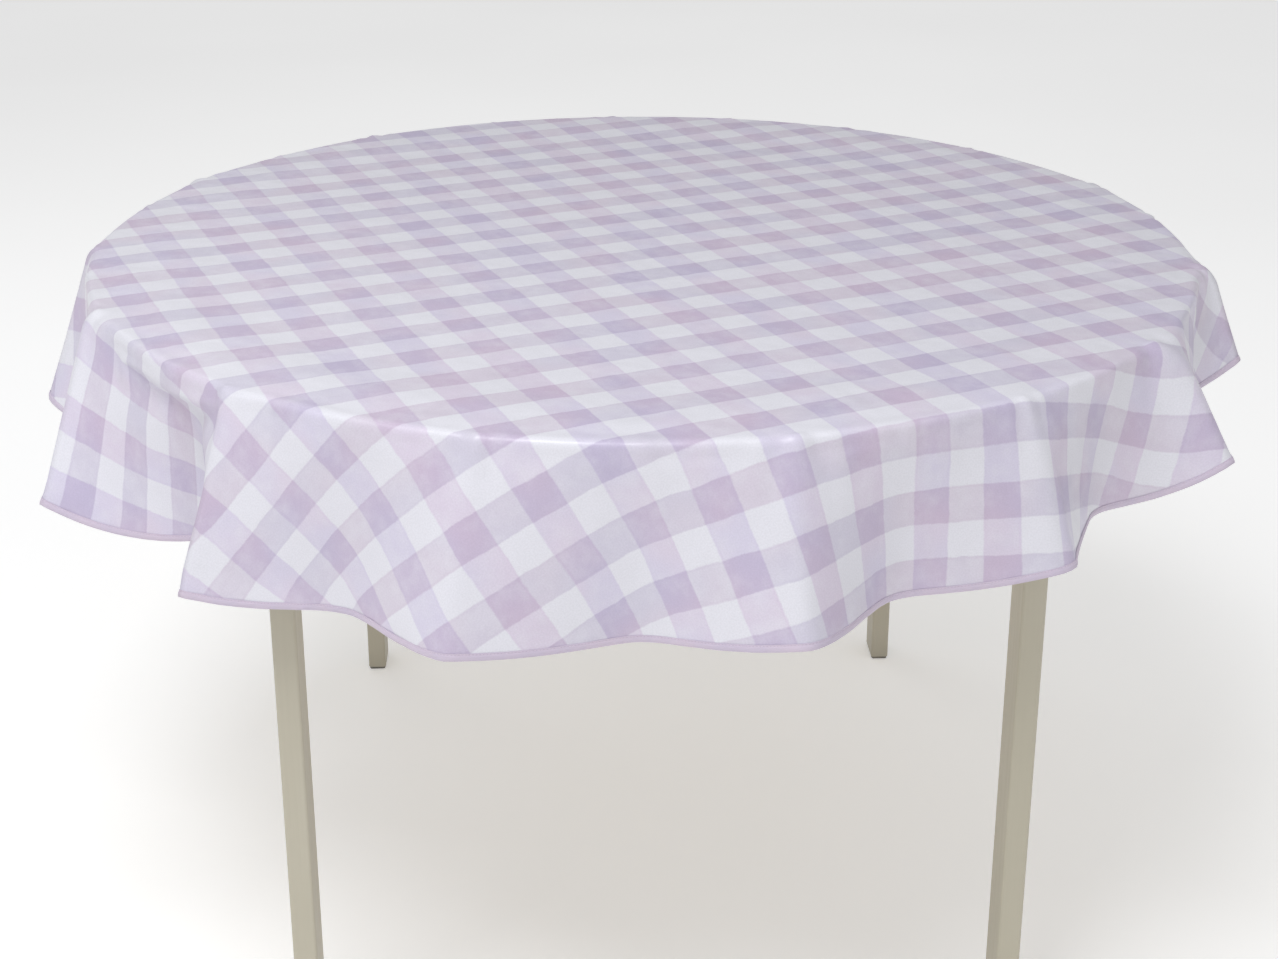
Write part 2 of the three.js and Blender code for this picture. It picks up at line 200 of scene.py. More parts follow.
# ---------------------------------------------------------------- the cloth
def lying_flat(radii, angles):
    """Where the rings and spokes of the cut cloth lie, about the table's axis. Rings up to the rim are
    round about the axis, the hem strip keeps its distance from the edge of the off-centre cloth, and the
    rings between share out what is left on each spoke."""
    along = CLOTH_CENTRE[0] * np.cos(angles) + CLOTH_CENTRE[1] * np.sin(angles)
    off_centre = CLOTH_CENTRE[0] ** 2 + CLOTH_CENTRE[1] ** 2
    edge = along + np.sqrt(CLOTH_RADIUS**2 - off_centre + along**2)
    rim = RIM_RINGS[-1]
    strip = CLOTH_RADIUS - HEM_STRIP
    share = (radii[:, None] - rim) / (strip - rim)
    between = rim + share * (edge - HEM_STRIP - rim)
    radius = np.where(radii[:, None] <= rim, radii[:, None], between)
    radius = np.where(radii[:, None] >= strip, edge - CLOTH_RADIUS + radii[:, None], radius)
    return np.stack([radius * np.cos(angles), radius * np.sin(angles)], -1)


def fold_at(angles):
    """The lean and the sideways draw at each angle. From a valley to a crest the way is a share of half
    a cosine, for a round crest, and of a power of the step, for a creased one."""
    table = np.array(FOLDS, dtype=float)
    first, last = table[0] + [360, 0, 0, 0], table[-1] - [360, 0, 0, 0]
    table = np.vstack([last, table, first])
    degrees = np.degrees(angles) % 360
    low = np.clip(np.searchsorted(table[:, 0], degrees, side="right") - 1, 0, len(table) - 2)
    behind, ahead = table[low], table[low + 1]
    step = (degrees - behind[..., 0]) / (ahead[..., 0] - behind[..., 0])
    rising = ahead[..., 1] > behind[..., 1]
    climb = np.where(rising, step, 1 - step)
    crease = np.where(rising, ahead[..., 3], behind[..., 3])
    way = (1 - crease) * (1 - np.cos(np.pi * climb)) / 2 + crease * climb**CREASE_POWER
    weight = np.where(rising, way, 1 - way)
    lean = behind[..., 1] * (1 - weight) + ahead[..., 1] * weight
    drawn = behind[..., 2] * (1 - weight) + ahead[..., 2] * weight
    return lean, drawn


def hung(flat):
    """Each spoke of the flat cloth carried over the rim: level to just inside the rim, then round an arc,
    then straight down at the fold's lean. The arc is wider and the fall leans further out on a crest."""
    radius = np.hypot(flat[..., 0], flat[..., 1])
    angle = np.arctan2(flat[..., 1], flat[..., 0])
    lean, drawn = fold_at(angle)
    crest = np.clip((lean + 5) / (FULL_LEAN + 5), 0, 1)
    full = BEND_FRONT + (BEND_REAR - BEND_FRONT) * np.clip(2 * np.sin(angle), 0, 1)
    bend = BEND_TIGHT + (full - BEND_TIGHT) * crest**4
    start = TOP_RADIUS - BEND_START
    past = np.clip(radius - start, 0, None)
    fall = np.radians(90 - lean)
    arc = np.minimum(past / bend, fall)
    straight = np.maximum(past - bend * fall, 0)
    out = np.minimum(radius, start) + bend * np.sin(arc) + straight * np.cos(fall)
    down = bend * (1 - np.cos(arc)) + straight * np.sin(fall)
    place = angle + np.radians(drawn) * np.clip(past / DRAW_LENGTH, 0, 1)
    level = TOP_HEIGHT + CLOTH_CLEARANCE
    return np.stack([out * np.cos(place), out * np.sin(place), level - down], -1)


def turned_surface(profile, sectors):
    """A profile of (radius, height) pairs carried round the table's axis: x = r cos a, y = r sin a."""
    profile = np.asarray(profile, dtype=float)
    angles = np.arange(sectors) * 2 * math.pi / sectors
    x = profile[:, :1] * np.cos(angles)
    y = profile[:, :1] * np.sin(angles)
    z = np.repeat(profile[:, 1:], sectors, axis=1)
    return np.stack([x, y, z], -1).reshape(-1, 3)


def board_profile(radius, low, high, edge, steps=6):
    """Half the outline of a round board: out along the underside, round the lower edge, up, round the
    upper edge, and back to the middle, with each edge a quarter circle."""
    turn = np.linspace(0, math.pi / 2, steps)
    lower = np.stack([radius - edge + edge * np.sin(turn), low + edge - edge * np.cos(turn)], -1)
    upper = np.stack([radius - edge + edge * np.cos(turn), high - edge + edge * np.sin(turn)], -1)
    return np.vstack([[BOARD_MIDDLE, low], lower, upper, [BOARD_MIDDLE, high]])


def make_board(name, profile, sectors):
    """A turned board with its underside and its top closed by one flat face each."""
    points = turned_surface(profile, sectors)
    rows = len(profile)
    underside = np.arange(sectors)[::-1][None, :]
    top = ((rows - 1) * sectors + np.arange(sectors))[None, :]
    return make_piece(name, points, [grid_quads(rows, sectors), underside, top])


def let_go(flat, start, quads):
    """Blender's cloth, which remembers the flat cut as its rest shape, held in the middle of the table
    and let go elsewhere from the hung shape. Returns where every point comes to rest."""
    cloth = make_piece("cloth_at_work", start, [quads])
    cloth.shape_key_add(name="Basis")
    cut = cloth.shape_key_add(name="Flat")
    level = np.full((len(flat), 1), TOP_HEIGHT)
    cut.data.foreach_set("co", np.hstack([flat, level]).astype(np.float32).ravel())
    profile = board_profile(TOP_RADIUS, TOP_UNDERSIDE, TOP_HEIGHT - BOARD_SUNK, BOARD_EDGE)
    board = make_board("board_at_work", profile, BOARD_SECTORS)
    board.modifiers.new("Collision", "COLLISION")
    board.collision.thickness_outer = COLLISION_DISTANCE
    board.collision.cloth_friction = BOARD_FRICTION
    board.collision.damping = BOARD_DAMPING
    held = cloth.vertex_groups.new(name="held")
    inside = np.flatnonzero(np.hypot(flat[:, 0], flat[:, 1]) < HELD_RADIUS)
    held.add(inside.tolist(), 1.0, "REPLACE")
    skirt = np.flatnonzero(np.hypot(flat[:, 0], flat[:, 1]) > SKIRT_HOLD_FROM)
    held.add(skirt.tolist(), SKIRT_HOLD, "REPLACE")
    solver = cloth.modifiers.new("Cloth", "CLOTH")
    fabric = solver.settings
    fabric.quality = 6
    fabric.mass = CLOTH_MASS
    fabric.tension_stiffness = STRETCH_STIFFNESS
    fabric.compression_stiffness = STRETCH_STIFFNESS
    fabric.shear_stiffness = SHEAR_STIFFNESS
    fabric.bending_stiffness = BEND_STIFFNESS
    fabric.bending_model = "ANGULAR"
    fabric.tension_damping = STRETCH_DAMPING
    fabric.compression_damping = STRETCH_DAMPING
    fabric.shear_damping = STRETCH_DAMPING
    fabric.bending_damping = BEND_DAMPING
    fabric.air_damping = AIR_DAMPING
    fabric.rest_shape_key = cut
    fabric.vertex_group_mass = "held"
    fabric.pin_stiffness = 1.0
    solver.collision_settings.distance_min = COLLISION_DISTANCE
    solver.collision_settings.collision_quality = 3
    solver.collision_settings.use_self_collision = False
    solver.point_cache.frame_end = DROP_FRAMES
    scene = bpy.context.scene
    for number in range(1, DROP_FRAMES + 1):
        scene.frame_set(number)
    settled = cloth.evaluated_get(bpy.context.evaluated_depsgraph_get()).to_mesh()
    points = np.empty(len(flat) * 3, dtype=np.float32)
    settled.vertices.foreach_get("co", points)
    scene.frame_set(1)
    for worker in (cloth, board):
        mesh = worker.data
        bpy.data.objects.remove(worker)
        bpy.data.meshes.remove(mesh)
    return points.reshape(-1, 3).astype(float)


def between_points(grid, times, axis, closed):
    """A grid made finer along one axis: the cubic through four neighbours (Catmull and Rom's), read at
    equal steps, with the old points kept. A closed axis runs round; an open one repeats its ends."""
    grid = np.moveaxis(grid, axis, 0)
    count = len(grid)
    spots = np.arange(count * times if closed else (count - 1) * times + 1) / times
    base = np.minimum(np.floor(spots).astype(int), count - 1)
    step = (spots - base).reshape(-1, *[1] * (grid.ndim - 1))
    around = [base + k for k in (-1, 0, 1, 2)]
    near = [grid[k % count] if closed else grid[np.clip(k, 0, count - 1)] for k in around]
    a, b, c, d = near
    finer = b + 0.5 * step * (c - a + step * (2 * a - 5 * b + 4 * c - d + step * (3 * (b - c) + d - a)))
    return np.moveaxis(finer, 0, axis)


def puckers(flat, rest):
    """Small crow's feet where each fold leaves the rim, added to the settled cloth along its outward
    normal. Beside each crest, at a distance l along the rim and s past it, the cloth rises by
    A (b + (1 - b) cos(2 pi l / w)) exp(-(l / kw)^2), which grows in over a few millimetres of s and
    dies away over a few centimetres. Sines of the fold's number stray its place, size and height."""
    across = np.roll(rest, -1, axis=1) - np.roll(rest, 1, axis=1)
    outward = np.gradient(rest, axis=0)
    normal = unit(np.cross(outward, across))
    radius = np.hypot(flat[..., 0], flat[..., 1])
    angle = np.arctan2(flat[..., 1], flat[..., 0])
    past = np.clip(radius - TOP_RADIUS + BEND_START, 0, None)
    rise = np.zeros_like(radius)
    for number, (place, lean, _, _) in enumerate(FOLDS):
        here = math.radians(place) + PUCKER_STRAY * math.sin(7 * number + 1)
        off = (angle - here + math.pi) % (2 * math.pi) - math.pi
        size = PUCKER_WIDTH * (1 + 0.3 * math.sin(5 * number))
        spread = size * (1 + past / PUCKER_SPREAD)
        tall = PUCKER_RISE * (1 if lean > CREST_LEAN else 0.6) * (1 + 0.35 * math.cos(3 * number))
        side = off * radius / spread
        wave = PUCKER_BIAS + (1 - PUCKER_BIAS) * np.cos(2 * math.pi * side)
        shape = wave * np.exp(-((side / PUCKER_SIDES) ** 2))
        rise += tall * shape * (1 - np.exp(-past / PUCKER_START)) * np.exp(-past / PUCKER_REACH)
    return rest + normal * rise[..., None]


def cloth_grid():
    """The cloth at rest as a grid of rings and spokes, with the flat place of every point, made finer
    after it has settled."""
    strip = CLOTH_RADIUS - HEM_STRIP
    skirt = np.linspace(RIM_RINGS[-1], strip, SKIRT_RINGS + 2)[1:]
    radii = np.concatenate([FLAT_RINGS, RIM_RINGS, skirt, [CLOTH_RADIUS - HEM_RING, CLOTH_RADIUS]])
    angles = np.arange(SECTORS) * 2 * math.pi / SECTORS
    flat = lying_flat(radii, angles)
    start = hung(flat)
    quads = grid_quads(len(radii), SECTORS)
    rest = let_go(flat.reshape(-1, 2), start.reshape(-1, 3), quads).reshape(start.shape)
    fine_flat = between_points(between_points(flat, REFINE, 0, False), REFINE, 1, True)
    fine_rest = between_points(between_points(rest, REFINE, 0, False), REFINE, 1, True)
    return fine_flat, puckers(fine_flat, fine_rest)


def make_cloth(flat, rest):
    """The sheet: the grid's quads, and a fan of triangles that closes the middle. Its UV map is the
    place of each point in the square that the round was cut from."""
    rings, spokes = rest.shape[:2]
    middle = rest[0].mean(axis=0)
    points = np.vstack([rest.reshape(-1, 3), middle]) + [AXIS_X, AXIS_Y, 0]
    around = np.arange(spokes)
    fan = np.stack([np.full(spokes, rings * spokes), around, (around + 1) % spokes], -1)
    place = np.vstack([flat.reshape(-1, 2), flat[0].mean(axis=0)])
    uv = (place - CLOTH_CENTRE) / CLOTH_DIAMETER + 0.5
    cloth = make_piece("cloth_sheet", points, [grid_quads(rings, spokes)[:, ::-1], fan], ("cut", uv))
    wall = cloth.modifiers.new("Thickness", "SOLIDIFY")
    wall.thickness = CLOTH_THICKNESS
    wall.offset = 0
    wall.use_even_offset = False
    wall.material_offset = 1
    return cloth


class Hem:
    """The edge of the cloth as a closed path: its points, the way along it, the way out of the cloth
    and the way up from its face, with the distance run from the start."""

    def __init__(self, rest):
        self.edge = rest[-1] + [AXIS_X, AXIS_Y, 0]
        inner = rest[-5] + [AXIS_X, AXIS_Y, 0]
        ahead = np.roll(self.edge, -1, axis=0)
        behind = np.roll(self.edge, 1, axis=0)
        self.along = unit(ahead - behind)
        out = unit(self.edge - inner)
        self.face = unit(np.cross(out, self.along))
        self.out = unit(np.cross(self.along, self.face))
        steps = np.linalg.norm(ahead - self.edge, axis=1)
        self.run = np.concatenate([[0], np.cumsum(steps)])
        self.length = self.run[-1]

    def at(self, distances):
        """The path's four quantities read at distances from the start, straight from point to point."""
        rows = []
        for track in (self.edge, self.along, self.out, self.face):
            closed = np.vstack([track, track[:1]])
            rows.append(np.stack([np.interp(distances, self.run, closed[:, k]) for k in range(3)], -1))
        return rows


def tape_section():
    """The tape's outline across the hem, as (out from the edge, up from the cloth) pairs: a U of woven
    tape, plump in the middle, pulled down along the stitching, round at the fold and hollow inside."""
    upper = np.array([
        (-TAPE_WIDTH, 0.00040), (-TAPE_WIDTH - 0.0001, 0.00070), (-TAPE_WIDTH + 0.0002, 0.00095),
        (-STITCH_INSET - 0.0005, 0.00088), (-STITCH_INSET, TAPE_EDGE - 0.0002),
        (-STITCH_INSET + 0.0006, 0.00092), (-TAPE_POCKET, 0.00116), (-0.0026, TAPE_PEAK),
        (-0.0014, 0.00118), (-0.0004, 0.00100), (0.0006, 0.00070), (0.0011, 0.00036),
    ])
    fold = np.array([(0.00125, 0.0)])
    lower = upper[::-1] * [1, -1]
    gap = TAPE_HALF_GAP
    inside = np.array([(-TAPE_POCKET, -gap), (TAPE_HEM_GAP, -gap), (TAPE_HEM_GAP, gap), (-TAPE_POCKET, gap)])
    return np.vstack([upper, fold, lower, inside])


def make_tape(hem):
    """The section carried along the hem, a closed tube of tape, with slow swells in its plumpness: two
    sums of sines whose periods divide the hem."""
    section = tape_section()
    turns = hem.run[:-1] / hem.length * 2 * math.pi
    swell = 1 + 0.05 * np.sin(211 * turns + 0.7) * np.sin(37 * turns) + 0.06 * np.sin(97 * turns + 2.1)
    out = section[:, 0][None, :, None] * hem.out[:, None, :]
    up = section[:, 1][None, :, None] * swell[:, None, None] * hem.face[:, None, :]
    points = (hem.edge[:, None, :] + out + up).reshape(-1, 3)
    spots = np.linspace(0, 1, len(section), endpoint=False)
    run = hem.run[:-1] / hem.length
    uv = np.stack(np.broadcast_arrays(run[:, None], spots[None, :]), -1).reshape(-1, 2)
    quads = grid_quads(len(hem.edge), len(section), closed_rows=True)
    return make_piece("hem_tape", points, [quads], ("tape", uv))


def make_stitches(hem):
    """Small thread capsules along both faces of the tape, each a ring of five points carried through four
    radii from tip to tip, with its ends dipped into the tape."""
    count = int(hem.length / STITCH_PITCH)
    middles = (np.arange(count) + 0.5) * hem.length / count
    edge, along, out, face = hem.at(middles)
    ring_size = STITCH_ROWS * STITCH_SIDES
    reach = np.array([-0.5, -0.28, 0.28, 0.5]) * STITCH_LENGTH
    width = np.array([0.35, 1.0, 1.0, 0.35]) * STITCH_RADIUS
    dip = np.array([-0.00022, 0.0, 0.0, -0.00022])
    turn = np.arange(STITCH_SIDES) * 2 * math.pi / STITCH_SIDES
    points = []
    for side in (1, -1):
        up = face * side
        seat = edge - out * STITCH_INSET + up * (TAPE_EDGE - 0.00008)
        ring = (
            seat[:, None, None, :]
            + along[:, None, None, :] * reach[None, :, None, None]
            + up[:, None, None, :] * (dip[:, None] + width[:, None] * np.sin(turn))[None, :, :, None]
            + out[:, None, None, :] * side * (width[:, None] * np.cos(turn))[None, :, :, None]
        )
        points.append(ring.reshape(-1, 3))
    one = grid_quads(STITCH_ROWS, STITCH_SIDES)[:, ::-1]
    first = np.arange(2 * count)[:, None, None] * ring_size
    quads = (one[None] + first).reshape(-1, 4)
    start = np.arange(STITCH_SIDES)
    tips = np.array([start, ring_size - 1 - start])
    ends = (tips[None] + first).reshape(-1, STITCH_SIDES)
    return make_piece("hem_stitches", np.vstack(points), [quads, ends])


# ---------------------------------------------------------------- the table
def turned_base(points):
    """Points about the table's own axes, turned with the base and moved to the table's place."""
    c, s = math.cos(BASE_TURN), math.sin(BASE_TURN)
    x = points[..., 0] * c - points[..., 1] * s + AXIS_X
    y = points[..., 0] * s + points[..., 1] * c + AXIS_Y
    return np.stack([x, y, points[..., 2]], -1)


def make_post(name, x, y, low, high):
    """An upright with rounded corners and eased ends: a rounded rectangle, its four corner arcs of a few
    points each, drawn in by the ease at both ends along a quarter circle."""
    arc, levels = 6, 5
    round_points = 4 * arc
    turn = np.arange(round_points)
    quarter = turn // arc
    angle = (quarter + (turn % arc) / (arc - 1)) * math.pi / 2
    sign_x = np.where((quarter == 0) | (quarter == 3), 1, -1)
    sign_y = np.where(quarter < 2, 1, -1)
    lift = np.linspace(0, math.pi / 2, levels)
    drawn = LEG_EASE * (1 - np.sin(lift))
    rise = LEG_EASE * (1 - np.cos(lift))
    heights = np.concatenate([low + rise, high - rise[::-1]])
    inset = np.concatenate([drawn, drawn[::-1]])
    radius = LEG_CORNER - inset
    px = sign_x * (LEG_WIDTH / 2 - LEG_CORNER) + radius[:, None] * np.cos(angle)
    py = sign_y * (LEG_DEPTH / 2 - LEG_CORNER) + radius[:, None] * np.sin(angle)
    pz = np.broadcast_to(heights[:, None], px.shape)
    points = turned_base(np.stack([px + x, py + y, pz], -1)).reshape(-1, 3)
    bottom = turn[::-1][None, :]
    top = ((len(heights) - 1) * round_points + turn)[None, :]
    piece = make_piece(name, points, [grid_quads(len(heights), round_points), bottom, top])
    normals = piece.modifiers.new("Normals", "WEIGHTED_NORMAL")
    normals.keep_sharp = True
    return piece


def make_legs():
    """The four posts on the base's turned rectangle, each as tall as its solid."""
    posts = []
    for corner in CORNERS:
        low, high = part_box("leg_" + corner)
        side_x = -1 if "left" in corner else 1
        side_y = -1 if "front" in corner else 1
        x, y = side_x * LEG_PITCH_ACROSS / 2, side_y * LEG_PITCH_DEEP / 2
        post = make_post("post_" + corner, x, y, low[2], high[2])
        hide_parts("leg_" + corner)
        posts.append(post)
    return posts


# ---------------------------------------------------------------- finishes
class Finish:
    """One material, with short ways to add its nodes and join them."""

    def __init__(self, name, **shader):
        self.material = bpy.data.materials.new(name)
        self.material.use_nodes = True
        self.tree = self.material.node_tree
        self.shader = self.tree.nodes["Principled BSDF"]
        for socket, value in shader.items():
            self.shader.inputs[socket.replace("_", " ")].default_value = value

    def put(self, socket, value):
        """Joins a socket to another's output, or sets its own value."""
        if isinstance(value, bpy.types.NodeSocket):
            self.tree.links.new(value, socket)
        else:
            socket.default_value = value

    def node(self, kind, inputs=(), **settings):
        """A node of a kind, with its settings, and its inputs set or joined."""
        node = self.tree.nodes.new("ShaderNode" + kind)
        for key, value in settings.items():
            setattr(node, key, value)
        for key, value in dict(inputs).items():
            self.put(node.inputs[key], value)
        return node

    def place(self, scale=(1, 1, 1), move=(0, 0, 0), turn=(0, 0, 0), uv=None):
        """Object coordinates, or a UV map's, scaled, turned about Z and moved."""
        if uv:
            source = self.node("UVMap", uv_map=uv).outputs[0]
        else:
            source = self.node("TexCoord").outputs["Object"]
        return self.node(
            "Mapping", {"Vector": source, "Location": move, "Rotation": turn, "Scale": scale}
        ).outputs[0]

    def math(self, operation, a, b=0.0, c=0.0, clamp=False):
        """One sum on values."""
        return self.node("Math", {0: a, 1: b, 2: c}, operation=operation, use_clamp=clamp).outputs[0]

    def noise(self, vector, scale, detail=2.0, roughness=0.5, output="Fac", flat=False):
        """Cloudy noise, in two dimensions where it is flat."""
        return self.node(
            "TexNoise", {"Vector": vector, "Scale": scale, "Detail": detail, "Roughness": roughness},
            noise_dimensions="2D" if flat else "3D",
        ).outputs[output]

    def span(self, value, low, high, to_low=0.0, to_high=1.0, smooth=True):
        """A value's range carried to another range, eased at both ends."""
        kind = "SMOOTHSTEP" if smooth else "LINEAR"
        inputs = {"Value": value, "From Min": low, "From Max": high, "To Min": to_low, "To Max": to_high}
        return self.node("MapRange", inputs, interpolation_type=kind).outputs[0]

    def mix(self, share, a, b, blend="MIX"):
        """Colour b laid over colour a by a share."""
        node = self.node("Mix", data_type="RGBA", blend_type=blend, clamp_factor=True)
        self.put(node.inputs[0], share)
        self.put(node.inputs[6], a)
        self.put(node.inputs[7], b)
        return node.outputs[2]

    def add_vectors(self, *vectors):
        """The sum of some vectors."""
        total = vectors[0]
        for vector in vectors[1:]:
            total = self.node("VectorMath", {0: total, 1: vector}, operation="ADD").outputs[0]
        return total

    def wander(self, vector, scale, amount, detail=2.0):
        """A vector of flat noise about nought, for pushing a pattern out of true."""
        push = self.noise(vector, scale, detail, output="Color", flat=True)
        centred = self.node("VectorMath", {0: push, 1: (0.5, 0.5, 0.5)}, operation="SUBTRACT").outputs[0]
        return self.node("VectorMath", {0: centred, "Scale": amount}, operation="SCALE").outputs[0]

    def bump(self, height, distance, strength=1.0, under=None):
        """A height turned into relief, over another relief if there is one."""
        inputs = {"Height": height, "Distance": distance, "Strength": strength}
        if under is not None:
            inputs["Normal"] = under
        return self.node("Bump", inputs).outputs[0]

    def finish(self, colour=None, roughness=None, normal=None):
        """Sets what the shader reads and gives the material back."""
        for socket, value in (("Base Color", colour), ("Roughness", roughness), ("Normal", normal)):
            if value is not None:
                self.put(self.shader.inputs[socket], value)
        return self.material


# What each set of stripes lets through of red, green and blue, where the wash is pink and where it is blue.
PINK_WASH = ((0.868, 0.800, 0.856, 1), (0.908, 0.824, 0.904, 1))
BLUE_WASH = ((0.828, 0.798, 0.870, 1), (0.866, 0.824, 0.926, 1))


def check_place(finish):
    """The cut cloth's UV map in checks: one unit to a check, turned to the print's direction, whole
    numbers in the middle of a check."""
    c, s = math.cos(CHECK_TURN), math.sin(CHECK_TURN)
    x = (CLOTH_CENTRE[0] - CLOTH_DIAMETER / 2) / CHECK
    y = (CLOTH_CENTRE[1] - CLOTH_DIAMETER / 2) / CHECK
    move = (x * c - y * s + CHECK_START[0], x * s + y * c + CHECK_START[1], 0)
    size = CLOTH_DIAMETER / CHECK
    return finish.place(scale=(size, size, 1), move=move, turn=(0, 0, CHECK_TURN), uv="cut")


def painted_check(finish, paper, strength):
    """Two sets of brushed stripes laid over paper. Each stripe is a wash of slowly changing tint with a
    wavering edge, a little more pigment along the edge, and small differences from check to check."""
    checks = check_place(finish)
    pushed = finish.add_vectors(
        checks, finish.wander(checks, 0.8, 0.10), finish.wander(checks, 4.5, 0.040),
        finish.wander(checks, 26, 0.022),
    )
    parts = finish.node("SeparateXYZ", {0: pushed})
    clean = finish.node("SeparateXYZ", {0: checks})
    cell = finish.node("VectorMath", {0: checks, 1: (0.5, 0.5, 0)}, operation="ADD").outputs[0]
    cell = finish.node("VectorMath", {0: cell}, operation="FLOOR").outputs[0]
    lot = finish.node("TexWhiteNoise", {"Vector": cell}, noise_dimensions="2D").outputs["Value"]
    blot = finish.noise(checks, 1.6, 3, 0.6, flat=True)
    grain = finish.noise(checks, 21, 3, 0.6, flat=True)
    colour = paper
    masks = []
    for number, axis in enumerate("XY"):
        across = finish.math("PINGPONG", parts.outputs[axis], 1.0)
        mask = finish.span(across, 0.47, 0.53)
        rim = finish.math("SUBTRACT", 1.0, finish.math("ABSOLUTE", finish.math(
            "MULTIPLY", finish.math("SUBTRACT", across, 0.545), 22)), clamp=True)
        drift = finish.noise(checks, 0.23 + 0.07 * number, 2, 0.5, flat=True)
        tint = finish.mix(finish.span(drift, 0.36, 0.64), PINK_WASH[number], BLUE_WASH[number])
        wash = finish.math("MULTIPLY_ADD", blot, 0.9, 0.32)
        wash = finish.math("MULTIPLY_ADD", lot, 0.24, wash)
        wash = finish.math("MULTIPLY_ADD", rim, 0.22, wash)
        share = finish.math("MULTIPLY", finish.math("MULTIPLY", mask, wash), strength)
        colour = finish.mix(share, colour, tint, "MULTIPLY")
        masks.append(mask)
    both = finish.math("MULTIPLY", masks[0], masks[1])
    colour = finish.mix(finish.math("MULTIPLY", both, 0.06 * strength), colour, (0.30, 0.20, 0.36, 1))
    speck = finish.span(grain, 0.25, 0.75, 0.96, 1.03)
    return finish.node("VectorMath", {0: colour, "Scale": speck}, operation="SCALE").outputs[0], checks


def cloth_relief(finish, checks):
    """The coated face: the weave of the cotton under the film, two threads a millimetre, and the slow
    unevenness that the film keeps from the roll."""
    weave = []
    for axis in (0, 1):
        turn = (0, 0, axis * math.pi / 2)
        laid = finish.node("Mapping", {"Vector": checks, "Rotation": turn, "Scale": (46, 46, 1)}).outputs[0]
        weave.append(finish.node(
            "TexWave", {"Vector": laid, "Scale": 0.5, "Distortion": 0.6, "Detail": 1}).outputs["Fac"])
    threads = finish.math("MULTIPLY", weave[0], weave[1])
    slow = finish.noise(checks, 0.55, 3, 0.55, flat=True)
    ripple = finish.bump(slow, 0.0035, 0.5)
    return finish.bump(threads, 0.00008, 0.45, ripple)


def cloth_print():
    """The right side: a white film with lilac and pink washes, softly shiny."""
    finish = Finish("cloth_print", Specular_IOR_Level=0.5, Coat_Weight=0.22, Coat_Roughness=0.24)
    paper = srgb(227, 226, 234)
    colour, checks = painted_check(finish, paper, 1.0)
    rough = finish.span(finish.noise(checks, 2.4, 3, flat=True), 0.3, 0.7, 0.36, 0.46)
    return finish.finish(colour, rough, cloth_relief(finish, checks))


def cloth_back():
    """The wrong side: unprinted cotton, with the print showing faintly through."""
    finish = Finish("cloth_back", Specular_IOR_Level=0.25, Sheen_Weight=0.25, Sheen_Roughness=0.5)
    paper = srgb(229, 227, 226)
    colour, checks = painted_check(finish, paper, 0.35)
    rough = finish.span(finish.noise(checks, 9, 3, flat=True), 0.3, 0.7, 0.78, 0.9)
    return finish.finish(colour, rough, cloth_relief(finish, checks))


def binding_tape(hem_length):
    """Folded bias tape: diagonal threads on the tape's own map, pink-lilac with slow changes."""
    finish = Finish("binding_tape", Specular_IOR_Level=0.3, Sheen_Weight=0.2, Sheen_Roughness=0.45)
    millimetres = (hem_length * 1000, 22, 1)
    tape = finish.place(scale=millimetres, uv="tape")
    twill = finish.node("Mapping", {"Vector": tape, "Rotation": (0, 0, math.pi / 4)}).outputs[0]
    one = finish.node("TexWave", {"Vector": twill, "Scale": 0.7, "Distortion": 1.2}).outputs["Fac"]
    other = finish.node(
        "TexWave", {"Vector": twill, "Scale": 0.7, "Distortion": 1.2}, bands_direction="Y").outputs["Fac"]
    threads = finish.math("MULTIPLY", one, other)
    slow = finish.noise(tape, 0.02, 3)
    colour = finish.mix(finish.span(slow, 0.3, 0.7), srgb(213, 200, 215), srgb(206, 196, 214))
    colour = finish.mix(finish.span(threads, 0, 0.6, 0.16, 0), colour, srgb(166, 146, 174))
    rough = finish.span(slow, 0.3, 0.7, 0.58, 0.68)
    return finish.finish(colour, rough, finish.bump(threads, 0.0001, 0.5))


def sewing_thread():
    """Polyester thread: a fine twist across each stitch and a soft shine."""
    finish = Finish("sewing_thread", Specular_IOR_Level=0.4, Sheen_Weight=0.3)
    place = finish.place(scale=(2200, 2200, 2200), turn=(0.6, 0.4, 0.5))
    twist = finish.node("TexWave", {"Vector": place, "Scale": 0.4, "Distortion": 2}).outputs["Fac"]
    colour = finish.mix(twist, srgb(214, 196, 216), srgb(232, 220, 234))
    return finish.finish(colour, finish.span(twist, 0, 1, 0.42, 0.55), finish.bump(twist, 0.0001, 0.4))


def leg_paint():
    """Warm grey satin paint brushed along the wood: long faint brush lines, a slow change of tone, a
    little darker towards the floor, and small pits."""
    finish = Finish("leg_paint", Specular_IOR_Level=0.2, Coat_Weight=0.03, Coat_Roughness=0.4)
    long_way = finish.place(scale=(420, 420, 7))
    brush = finish.noise(long_way, 1.0, 4, 0.6)
    slow = finish.noise(finish.place(scale=(6, 6, 2.2)), 1.0, 3)
    pits = finish.span(finish.noise(finish.place(), 900, 2), 0.72, 0.8)
    colour = finish.mix(finish.span(slow, 0.3, 0.7), srgb(196, 190, 174), srgb(189, 183, 165))
    colour = finish.mix(finish.span(brush, 0.3, 0.75, 0, 0.10), colour, srgb(178, 173, 158))
    # Darker over the lowest few centimetres, towards the floor.
    height = finish.node("SeparateXYZ", {0: finish.place()}).outputs["Z"]
    low = finish.span(finish.math("MULTIPLY_ADD", slow, 0.05, height), 0.012, 0.075, 0.45, 0)
    colour = finish.mix(low, colour, srgb(160, 154, 140))
    rough = finish.span(brush, 0.3, 0.7, 0.36, 0.5)
    relief = finish.bump(brush, 0.00022, 0.6)
    return finish.finish(colour, rough, finish.bump(pits, 0.0002, 0.3, relief))


